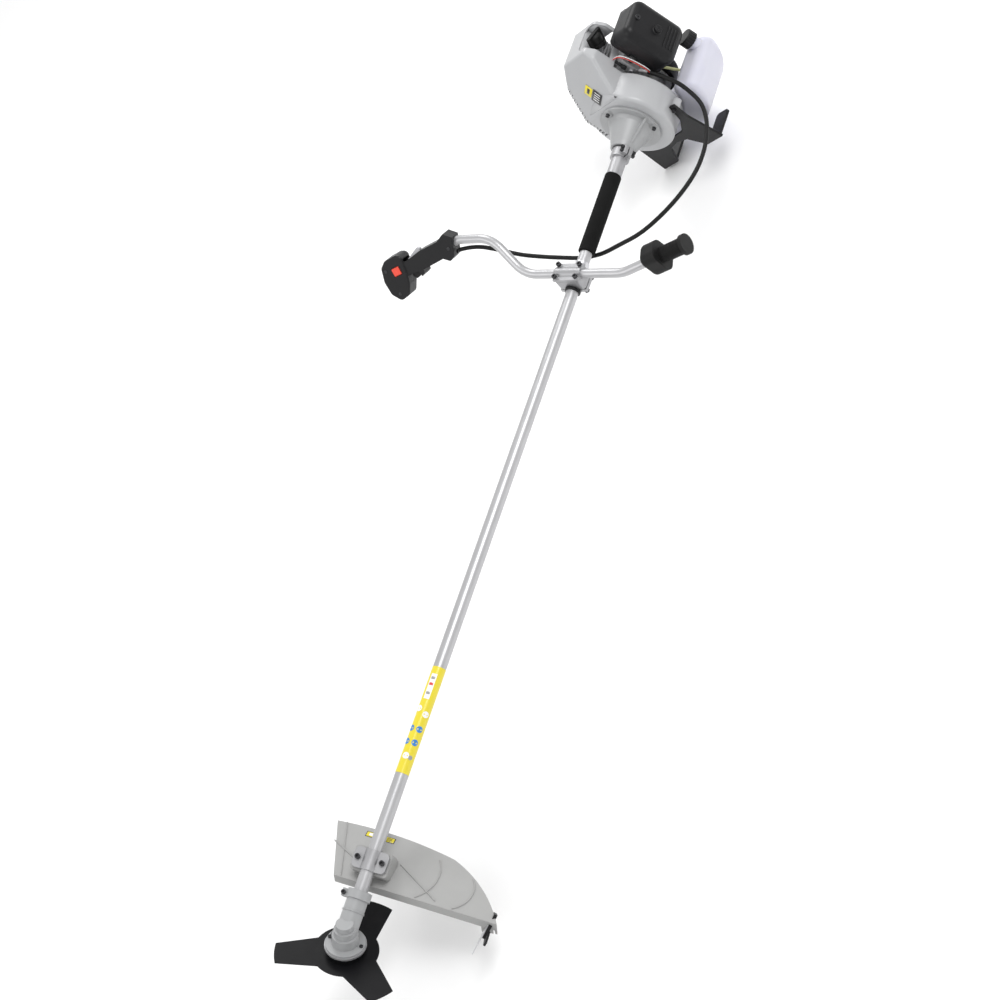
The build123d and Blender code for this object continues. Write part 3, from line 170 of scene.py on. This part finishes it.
def finish(name, colour, roughness, metallic=0.0, grain=900.0, grain_depth=0.12, mottle=0.05,
           bevel=0.0008, edge=None, edge_amount=0.0, coat=0.0, brushed=None, specular=0.5):
    """Procedural finish: mottled colour, uneven gloss, fine grain, softened edges and rubbed edges."""
    material = bpy.data.materials.new(name)
    material.use_nodes = True
    nodes, links = material.node_tree.nodes, material.node_tree.links
    shader = nodes["Principled BSDF"]
    shader.inputs["Metallic"].default_value = metallic
    shader.inputs["Coat Weight"].default_value = coat
    shader.inputs["Coat Roughness"].default_value = COAT_ROUGHNESS
    shader.inputs["Specular IOR Level"].default_value = specular
    spot = nodes.new("ShaderNodeTexCoord").outputs["Object"]

    tint = nodes.new("ShaderNodeValToRGB")
    tint.color_ramp.elements[0].position = 0.3
    tint.color_ramp.elements[1].position = 0.7
    tint.color_ramp.elements[0].color = (*[c * (1 - mottle) for c in colour], 1)
    tint.color_ramp.elements[1].color = (*[min(1.0, c * (1 + mottle)) for c in colour], 1)
    links.new(noise(nodes, links, spot, PATCH_SCALE, PATCH_DETAIL), tint.inputs["Fac"])
    colour_out = tint.outputs["Color"]

    smudges = noise(nodes, links, spot, SMUDGE_SCALE, SMUDGE_DETAIL)
    gloss = nodes.new("ShaderNodeMapRange")
    gloss.inputs["To Min"].default_value = roughness * 0.88
    gloss.inputs["To Max"].default_value = min(1.0, roughness * 1.14)
    links.new(smudges, gloss.inputs["Value"])
    links.new(gloss.outputs["Result"], shader.inputs["Roughness"])

    grain_spot = spot
    if brushed:
        stretch = nodes.new("ShaderNodeMapping")
        stretch.inputs["Scale"].default_value = brushed
        links.new(spot, stretch.inputs["Vector"])
        grain_spot = stretch.outputs["Vector"]
    rounded = nodes.new("ShaderNodeBevel")
    rounded.inputs["Radius"].default_value = bevel
    rounded.samples = 4
    bump = nodes.new("ShaderNodeBump")
    bump.inputs["Strength"].default_value = grain_depth
    bump.inputs["Distance"].default_value = BUMP_DISTANCE
    links.new(noise(nodes, links, grain_spot, grain, GRAIN_DETAIL), bump.inputs["Height"])
    links.new(rounded.outputs["Normal"], bump.inputs["Normal"])
    links.new(bump.outputs["Normal"], shader.inputs["Normal"])

    if edge:
        bend = nodes.new("ShaderNodeVectorMath")
        bend.operation = "DOT_PRODUCT"
        links.new(rounded.outputs["Normal"], bend.inputs[0])
        links.new(nodes.new("ShaderNodeNewGeometry").outputs["Normal"], bend.inputs[1])
        rub = nodes.new("ShaderNodeMapRange")
        rub.inputs["From Min"].default_value = WEAR_STARTS
        rub.inputs["From Max"].default_value = WEAR_FULL
        rub.inputs["To Max"].default_value = edge_amount
        links.new(bend.outputs["Value"], rub.inputs["Value"])
        broken = nodes.new("ShaderNodeMath")
        broken.operation = "MULTIPLY"
        links.new(rub.outputs["Result"], broken.inputs[0])
        links.new(smudges, broken.inputs[1])
        worn = nodes.new("ShaderNodeMix")
        worn.data_type = "RGBA"
        worn.inputs["B"].default_value = (*edge, 1)
        links.new(broken.outputs["Value"], worn.inputs["Factor"])
        links.new(colour_out, worn.inputs["A"])
        colour_out = worn.outputs["Result"]
    links.new(colour_out, shader.inputs["Base Color"])
    return material


def milky(name, colour):
    """Translucent blow-moulded tank plastic."""
    material = finish(name, colour, 0.38, grain=500.0, grain_depth=0.1, mottle=0.02, bevel=0.0015)
    shader = material.node_tree.nodes["Principled BSDF"]
    shader.inputs["Subsurface Weight"].default_value = 0.6
    shader.inputs["Subsurface Radius"].default_value = (0.02, 0.02, 0.024)
    shader.inputs["Subsurface Scale"].default_value = 0.4
    return material


def foam_skin(name):
    """Black closed-cell foam whose bumps are cells instead of grain."""
    material = finish(name, (0.006, 0.006, 0.006), 0.85, grain=420.0, grain_depth=0.55, mottle=0.15,
                      specular=0.15)
    nodes, links = material.node_tree.nodes, material.node_tree.links
    cells = nodes.new("ShaderNodeTexVoronoi")
    cells.inputs["Scale"].default_value = 700.0
    links.new(nodes.new("ShaderNodeTexCoord").outputs["Object"], cells.inputs["Vector"])
    bump = next(n for n in nodes if n.type == "BUMP")
    links.new(cells.outputs["Distance"], bump.inputs["Height"])
    return material


SLOT_FINISH = {
    "silver_cover": finish("cover_paint", (0.40, 0.405, 0.415), 0.34, grain=1500, grain_depth=0.03,
                           mottle=0.02, bevel=0.003, coat=0.25),
    "grey_casting": finish("casting_paint", (0.34, 0.345, 0.35), 0.42, metallic=0.15, grain=1100,
                           grain_depth=0.08, mottle=0.03, bevel=0.0015, edge=(0.48, 0.48, 0.48),
                           edge_amount=0.5),
    "silver_tube": finish("satin_aluminium", (0.46, 0.46, 0.47), 0.36, metallic=0.6, grain=260,
                          grain_depth=0.05, mottle=0.03, brushed=(0.04, 1, 1)),
    "raw_casting": finish("bare_casting", (0.38, 0.38, 0.39), 0.44, metallic=0.7, grain=1300,
                          grain_depth=0.14, mottle=0.07, bevel=0.001, edge=(0.55, 0.55, 0.55),
                          edge_amount=0.6),
    "grey_plastic": finish("guard_plastic", (0.34, 0.34, 0.335), 0.52, grain=1400, grain_depth=0.10,
                           mottle=0.03, bevel=0.0015, edge=(0.45, 0.45, 0.44), edge_amount=0.35),
    "black_plastic": finish("black_nylon", (0.006, 0.006, 0.007), 0.40, grain=1500, grain_depth=0.16,
                            mottle=0.12, bevel=0.0022, edge=(0.03, 0.03, 0.032), edge_amount=0.5,
                            specular=0.30),
    "light_plastic": finish("lever_plastic", (0.50, 0.50, 0.52), 0.40, grain=1600, grain_depth=0.06,
                            bevel=0.0012),
    "red_plastic": finish("rocker_plastic", (0.75, 0.055, 0.025), 0.28, grain=1800, grain_depth=0.03,
                          bevel=0.0012, coat=0.3),
    "black_rubber": finish("black_rubber", (0.006, 0.006, 0.006), 0.55, grain=1000, grain_depth=0.2,
                           mottle=0.15, specular=0.25),
    "foam": foam_skin("foam_skin"),
    "blade_paint": finish("blade_paint", (0.004, 0.004, 0.005), 0.42, grain=900, grain_depth=0.12,
                          mottle=0.15, bevel=0.0004, edge=(0.10, 0.10, 0.11), edge_amount=0.6,
                          specular=0.18),
    "tank_plastic": milky("tank_plastic", (0.60, 0.60, 0.71)),
    "bulb_plastic": finish("bulb_rubber", (0.62, 0.50, 0.26), 0.25, grain=900, grain_depth=0.05),
    "dark_screws": finish("blackened_steel", (0.035, 0.035, 0.038), 0.38, metallic=0.6, grain=1500,
                          grain_depth=0.1, bevel=0.0006, edge=(0.25, 0.25, 0.26), edge_amount=0.6),
    "bright_steel": finish("zinc_steel", (0.63, 0.63, 0.65), 0.3, metallic=0.9, grain=900,
                           grain_depth=0.06, bevel=0.0005, brushed=(1, 0.08, 1)),
    "iron": finish("machined_iron", (0.22, 0.22, 0.23), 0.42, metallic=0.8, grain=800, grain_depth=0.2,
                   mottle=0.12),
    "heat_steel": finish("heat_steel", (0.28, 0.25, 0.22), 0.48, metallic=0.8, grain=700,
                         grain_depth=0.15, mottle=0.25, bevel=0.001),
}


def dress_nodes():
    """Give every CAD node the finish of its material slot."""
    for part in frame["record"]["subparts"]:
        node = frame["nodes"][part["node"]]
        node.data.materials.clear()
        node.data.materials.append(SLOT_FINISH[part["material_slot"]])


# ======================= mesh helpers =======================
def mesh_from(name, shape, placed=Matrix(), angle=35.0):
    """Placed mesh, shaded smooth but for edges sharper than the angle."""
    mesh = bpy.data.meshes.new(name)
    shape.to_mesh(mesh)
    shape.free()
    mesh.transform(placed)
    for face in mesh.polygons:
        face.use_smooth = True
    mesh.set_sharp_from_angle(angle=radians(angle))
    return mesh


def piece_from(name, mesh, slot, material=None):
    """Object from a mesh, riding the frame and finished as a slot."""
    piece = bpy.data.objects.new(name, mesh)
    bpy.context.scene.collection.objects.link(piece)
    mesh.materials.append(material or SLOT_FINISH[slot])
    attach(piece, "frame")
    return piece


def rounded_slab(name, outline, thickness, round_off, placed, slot, material=None, depth_steps=3):
    """Plate with a given outline in x and y, its edges rounded off, placed by a matrix."""
    shape = bmesh.new()
    base = [shape.verts.new((x, y, 0)) for x, y in outline]
    face = shape.faces.new(base)
    raised = bmesh.ops.extrude_face_region(shape, geom=[face])
    tops = [v for v in raised["geom"] if isinstance(v, bmesh.types.BMVert)]
    bmesh.ops.translate(shape, vec=(0, 0, thickness), verts=tops)
    bmesh.ops.recalc_face_normals(shape, faces=shape.faces)
    bmesh.ops.bevel(shape, geom=list(shape.edges), offset=round_off, segments=depth_steps, profile=0.5,
                    affect="EDGES", clamp_overlap=True)
    return piece_from(name, mesh_from(name, shape, placed, 50), slot, material)


def rectangle(width, height, x=0.0, y=0.0):
    """Corners of a rectangle about a centre."""
    return [(x + i * width / 2, y + j * height / 2) for i, j in ((-1, -1), (1, -1), (1, 1), (-1, 1))]


def lathe(name, profile, placed, slot, steps=48):
    """Turned piece about local Z from (radius, height) points."""
    shape = bmesh.new()
    rings = []
    for radius, height in profile:
        ring = []
        for k in range(steps):
            turn = 2 * pi * k / steps
            ring.append(shape.verts.new((radius * cos(turn), radius * sin(turn), height)))
        rings.append(ring)
    for lower, upper in zip(rings, rings[1:]):
        for k in range(steps):
            shape.faces.new((lower[k], lower[(k + 1) % steps], upper[(k + 1) % steps], upper[k]))
    shape.faces.new(rings[0][::-1])
    shape.faces.new(rings[-1])
    bmesh.ops.recalc_face_normals(shape, faces=shape.faces)
    return piece_from(name, mesh_from(name, shape, placed), slot)


# ======================= cords =======================
def smooth_curve(name, points, radius, slot, material=None):
    """Round cord along a smooth NURBS line with the given control points."""
    curve = bpy.data.curves.new(name, "CURVE")
    curve.dimensions = "3D"
    line = curve.splines.new("NURBS")
    line.points.add(len(points) - 1)
    for control, point in zip(line.points, points):
        control.co = (*point, 1.0)
    line.order_u = 3
    line.use_endpoint_u = True
    line.resolution_u = 8
    curve.bevel_depth = radius
    curve.bevel_resolution = 5
    curve.use_fill_caps = True
    cord = bpy.data.objects.new(name, curve)
    bpy.context.scene.collection.objects.link(cord)
    curve.materials.append(material or SLOT_FINISH[slot])
    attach(cord, "frame")
    return cord


# CABLE_ROUTE is in shaft axes, FUEL_ROUTE in engine axes
CABLE_ROUTE = (
    (-0.0045, -0.2730, 0.0645), (-0.0150, -0.2380, 0.0640), (-0.0150, -0.1830, 0.0450),
    (-0.0160, -0.1450, 0.0240), (-0.0240, -0.1030, 0.0030), (-0.0350, -0.0700, -0.0180),
    (-0.0380, -0.0280, -0.0260), (-0.0460, 0.0180, -0.0260), (-0.0600, 0.0620, -0.0140),
    (-0.0760, 0.1120, -0.0020), (-0.1120, 0.1530, 0.0060), (-0.1580, 0.1870, 0.0120),
    (-0.2100, 0.2110, 0.0180), (-0.2620, 0.2160, 0.0220), (-0.3180, 0.2050, 0.0240),
    (-0.3660, 0.1810, 0.0260), (-0.3940, 0.1500, 0.0330), (-0.4250, 0.1000, 0.0465),
    (-0.4310, 0.0491, 0.0685))
CABLE_R = 0.0045
FUEL_ROUTE = (
    (-0.054, 0.0735, -0.046), (-0.050, 0.062, -0.030), (-0.040, 0.063, -0.006), (-0.029, 0.060, 0.022),
    (-0.024, 0.058, 0.057))
FUEL_R = 0.003


def control_cable():
    """Throttle cable and switch wires in one sheath, under the shaft and out to the carburettor."""
    route = [SHAFT @ Vector(point) for point in CABLE_ROUTE]
    cable = smooth_curve("control_cable", route, CABLE_R, "black_rubber")
    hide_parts("throttle_cable")


def fuel_hose():
    """Yellow hose from the tank grommet to the carburettor."""
    amber = finish("hose_amber", (0.70, 0.72, 0.36), 0.3, grain=600, grain_depth=0.03, mottle=0.05)
    route = [ENGINE @ Vector(point) for point in FUEL_ROUTE]
    pipe = smooth_curve("fuel_hose", route, FUEL_R, "black_rubber", amber)
    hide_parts("fuel_line")


# ======================= labels =======================
STICKER = 0.0003                         # thickness of a film, and the step from one layer to the next
BAND_STEP = 6                            # degrees of turn to a facet
DISC_POINTS = 28
DISC_R, SMALL_DISC_R = 0.0062, 0.0042
TUBE_LABEL_ENDS = (0.887, 1.097)
TUBE_PANEL_ENDS = (0.902, 0.952)
TUBE_BAR_WIDTH = 0.005
TUBE_BARS = ((0.908, "grey"), (0.920, "red"), (0.938, "grey"))
TUBE_DISCS = (                           # place along the tube, angle about it, colour
    (0.981, 30, "white"), (0.972, 104, "white"), (1.011, 38, "blue"), (1.011, 112, "blue"),
    (1.037, 38, "blue"), (1.037, 112, "blue"), (1.064, 74, "white"), (1.066, 32, "grey"))


def ink(name, colour, roughness=0.35):
    """Printed sticker film."""
    return finish(name, colour, roughness, grain=2200, grain_depth=0.02, mottle=0.02, bevel=0.0002,
                  coat=0.4)


INKS = {
    "yellow": ink("label_yellow", (0.72, 0.60, 0.02)), "black": ink("label_black", (0.015, 0.015, 0.015)),
    "white": ink("label_white", (0.82, 0.82, 0.82)), "blue": ink("label_blue", (0.03, 0.20, 0.55)),
    "red": ink("label_red", (0.62, 0.04, 0.03)), "grey": ink("label_grey", (0.30, 0.30, 0.30)),
}


def film(name, corners, placed, colour, lift=0.0, slot="silver_cover"):
    """Flat thin film with square corners on a placed plane."""
    raised = placed @ Matrix.Translation((0, 0, lift))
    return rounded_slab(name, corners, STICKER, STICKER * 0.3, raised, slot, INKS[colour], depth_steps=1)


def on_tube(x, turn, lift):
    """Point at a lift above the shaft tube, at a place along it and a turn about it in radians."""
    reach = TUBE_R + lift
    return x, reach * cos(turn), AXIS_Z + reach * sin(turn)


def tube_band(name, ends, start, sweep, lift, colour):
    """Film wrapped on the shaft tube between two ends, from a start angle through a sweep."""
    steps = max(3, int(sweep / BAND_STEP))
    turns = [radians(start + sweep * k / steps) for k in range(steps + 1)]
    shape = bmesh.new()
    low, high = [[shape.verts.new(on_tube(x, turn, lift)) for turn in turns] for x in ends]
    for k in range(steps):
        shape.faces.new((low[k], low[k + 1], high[k + 1], high[k]))
    return piece_from(name, mesh_from(name, shape), "silver_tube", INKS[colour])


def tube_disc(name, x, angle, radius, colour):
    """Round spot printed on the shaft tube at a place and an angle."""
    middle, lift = radians(angle), 2 * STICKER
    shape = bmesh.new()
    rim = []
    for k in range(DISC_POINTS):
        turn = 2 * pi * k / DISC_POINTS
        around = middle + radius * sin(turn) / TUBE_R
        rim.append(shape.verts.new(on_tube(x + radius * cos(turn), around, lift)))
    hub = shape.verts.new(on_tube(x, middle, lift))
    for k in range(DISC_POINTS):
        shape.faces.new((hub, rim[k], rim[(k + 1) % DISC_POINTS]))
    return piece_from(name, mesh_from(name, shape), "silver_tube", INKS[colour])


def tube_label():
    """Yellow band on the tube with a plain white panel, three bars and eight discs."""
    tube_band("tube_label_base", TUBE_LABEL_ENDS, -30, 170, STICKER, "yellow")
    tube_band("tube_label_panel", TUBE_PANEL_ENDS, 48, 48, 2 * STICKER, "white")
    for index, (x, colour) in enumerate(TUBE_BARS):
        tube_band(f"tube_label_bar_{index}", (x, x + TUBE_BAR_WIDTH), 56, 32, 3 * STICKER, colour)
    for index, (x, angle, colour) in enumerate(TUBE_DISCS):
        radius = SMALL_DISC_R if colour == "grey" else DISC_R
        tube_disc(f"tube_label_disc_{index}", x, angle, radius, colour)


def cover_label():
    """Yellow and black sticker on the front slope of the engine cover."""
    yellow_x, black_x = -0.0155, 0.009
    placed = ENGINE @ facing((0.0657, -0.0095, 0.0992), (0.842, 0, 0.540), (0.45, 0.55, -0.70))
    film("cover_label_yellow", rectangle(0.020, 0.022, yellow_x), placed, "yellow")
    film("cover_label_black", rectangle(0.026, 0.028, black_x), placed, "black")
    for index in range(4):
        bar = rectangle(0.016, 0.0016, black_x, -0.0085 + 0.0055 * index)
        film(f"cover_label_bar_{index}", bar, placed, "white", STICKER)
    film("cover_label_mark", rectangle(0.007, 0.013, yellow_x), placed, "black", STICKER)


def guard_label():
    """Dark-rimmed yellow sticker near the back edge of the guard, passing under the tube."""
    slope = radians(GUARD_SLOPE)
    back, up = Vector((-cos(slope), 0, -sin(slope))), Vector((-sin(slope), 0, cos(slope)))
    centre = Vector(GUARD_FRONT) + back * 0.1045 + Vector((0, -0.020, 0))
    placed = GEARHEAD @ facing(centre, up, (0, 1, 0))
    film("guard_label_rim", rectangle(0.058, 0.012), placed, "black", slot="grey_plastic")
    film("guard_label_face", rectangle(0.055, 0.0096), placed, "yellow", STICKER, slot="grey_plastic")
    for index in range(3):
        bar = rectangle(0.010, 0.0009, 0.018, -0.0026 + 0.0026 * index)
        film(f"guard_label_bar_{index}", bar, placed, "black", 2 * STICKER, slot="grey_plastic")
    mark = rectangle(0.009, 0.0060, -0.018)
    film("guard_label_disc", mark, placed, "white", 2 * STICKER, slot="grey_plastic")


# ======================= walls of the engine cover =======================
COVER_WALL = 0.0015
FAN_R = 0.0915                           # middle of the fan housing's wall, which the panel's upper edge follows
SLOPE_RUN, SLOPE_FALL = 0.534, 0.8455    # direction down the front slope
SLOPE_TOP = (0.062, 0, 0.104)            # engine axes
SLOPE_LENGTH = 0.0380                    # from SLOPE_TOP down to the panel's lower edge
SLOPE_LEFT, SLOPE_RIGHT = 0.0445, -0.054
SLOPE_STATIONS = (0.030, 0.015, 0.0, -0.015, -0.030, -0.045)     # across the panel's upper edge
SLOPE_PROUD = 0.0001                     # how far the panel stands proud of the slope
RECESS_LOW, RECESS_HIGH = 0.129, 0.168
RECESS_INNER, RECESS_OUTER = 0.001, 0.0445


def cover_plate(name, outline, placed):
    """One plate of the engine cover's wall, with its edges taken off."""
    rounded_slab(name, outline, COVER_WALL, COVER_WALL * 0.2, placed, "silver_cover", depth_steps=1)


def cover_slope_panel():
    """Plate that closes the front slope of the engine cover over the fan housing."""
    outline = [(SLOPE_LENGTH, SLOPE_RIGHT), (SLOPE_LENGTH, SLOPE_LEFT)]
    for y in (SLOPE_LEFT, *SLOPE_STATIONS, SLOPE_RIGHT):
        height = (FAN_R ** 2 - y * y) ** 0.5
        outline.append(((SLOPE_TOP[2] - height) / SLOPE_FALL, y))
    placed = ENGINE @ matrix_from_axes(
        (SLOPE_RUN, 0, -SLOPE_FALL), (0, 1, 0), (SLOPE_FALL, 0, SLOPE_RUN), Vector(SLOPE_TOP))
    cover_plate("cover_slope_panel", outline, placed @ Matrix.Translation((0, 0, SLOPE_PROUD - COVER_WALL)))


def recess_walls():
    """Walls round the spark plug's recess in the engine cover."""
    end_wall = ((RECESS_INNER, RECESS_LOW), (RECESS_OUTER, RECESS_LOW), (RECESS_OUTER, 0.151),
                (0.028, RECESS_HIGH), (RECESS_INNER, RECESS_HIGH))
    for name, x in (("recess_back", -0.0555), ("recess_front", 0.006)):
        placed = ENGINE @ matrix_from_axes((0, 1, 0), (0, 0, 1), (1, 0, 0), Vector((x, 0, 0)))
        cover_plate(name, end_wall, placed)
    placed = ENGINE @ matrix_from_axes((1, 0, 0), (0, 0, 1), (0, -1, 0), Vector((0, 0.002, 0)))
    middle = (RECESS_LOW + RECESS_HIGH) / 2
    cover_plate("recess_side", rectangle(0.060, RECESS_HIGH - RECESS_LOW, -0.024, middle), placed)


# ======================= switch wires =======================
WIRE_R = 0.0009
WIRE_ROUTE = (                           # engine axes
    (0.0060, 0.0785, 0.034), (0.0090, 0.0860, 0.042), (0.0095, 0.0860, 0.060), (0.0090, 0.0820, 0.082),
    (0.0080, 0.0720, 0.103), (0.0065, 0.0580, 0.109), (0.0060, 0.0465, 0.108))
WIRES = (("stop_wire", (0, 0, 0), "red"), ("earth_wire", (-0.0029, 0.0012, 0), "white"))


def switch_wires():
    """Red and white wires from the end of the control cable up to the engine cover."""
    for name, shift, colour in WIRES:
        route = [ENGINE @ (Vector(point) + Vector(shift)) for point in WIRE_ROUTE]
        wire = smooth_curve(name, route, WIRE_R, "black_rubber", INKS[colour])


# ======================= small fittings =======================
FILTER_FRONT = (-0.0485, 0.137, 0.076)   # middle of the air filter cover's face, engine axes
FILTER_RIBS = 4
FILTER_RIB_STEP = 0.0075
SHELL_SCREWS = ((0.180, -0.046, 0.020), (0.184, 0.010, 0.020), (0.024, -0.006, 0.017))


def screw_head(name, placed, radius=0.0042, height=0.004):
    """Cap head with a socket, standing on a placed plane."""
    profile = ((radius, 0), (radius, height * 0.85), (radius * 0.88, height), (radius * 0.55, height),
               (radius * 0.50, height * 0.45))
    lathe(name, profile, placed, "dark_screws", steps=32)


def collar_screws():
    """Two screw heads on the shaft collar, facing the engine's -Z."""
    for index, x in enumerate((0.157, 0.165)):
        turned = Matrix.Translation((x, 0.026, -0.011)) @ Matrix.Rotation(pi, 4, "X")
        screw_head(f"collar_screw_{index}", ENGINE @ turned, height=0.007)


def shell_screws():
    """Three screw heads on the throttle grip's halves."""
    face = matrix_from_axes(THROTTLE_X, THROTTLE_X.cross(THROTTLE_Z), -THROTTLE_Z, Vector(THROTTLE_ORIGIN))
    for index, (x, y, height) in enumerate(SHELL_SCREWS):
        screw_head(f"shell_screw_{index}", face @ Matrix.Translation((x, -y, height)), 0.0036, 0.0010)


def filter_trim():
    """Knob and ribs on the face of the air filter cover."""
    front = ENGINE @ facing(FILTER_FRONT, (0, 1, 0), (-1, 0, 0))
    knob = ((0.011, -0.001), (0.011, 0.001), (0.0085, 0.002), (0.0085, 0.007), (0.0072, 0.0085),
            (0.003, 0.0085), (0.0025, 0.0075))
    lathe("filter_knob", knob, front, "black_plastic")
    for index in range(FILTER_RIBS):
        rib = rectangle(0.050, 0.0026, 0, -0.024 - FILTER_RIB_STEP * index)
        rounded_slab(f"filter_rib_{index}", rib, 0.0014, 0.0006, front, "black_plastic")


look_from()
studio()
dress_nodes()
control_cable()
fuel_hose()
tube_label()
cover_label()
guard_label()
cover_slope_panel()
recess_walls()
switch_wires()
collar_screws()
shell_screws()
filter_trim()
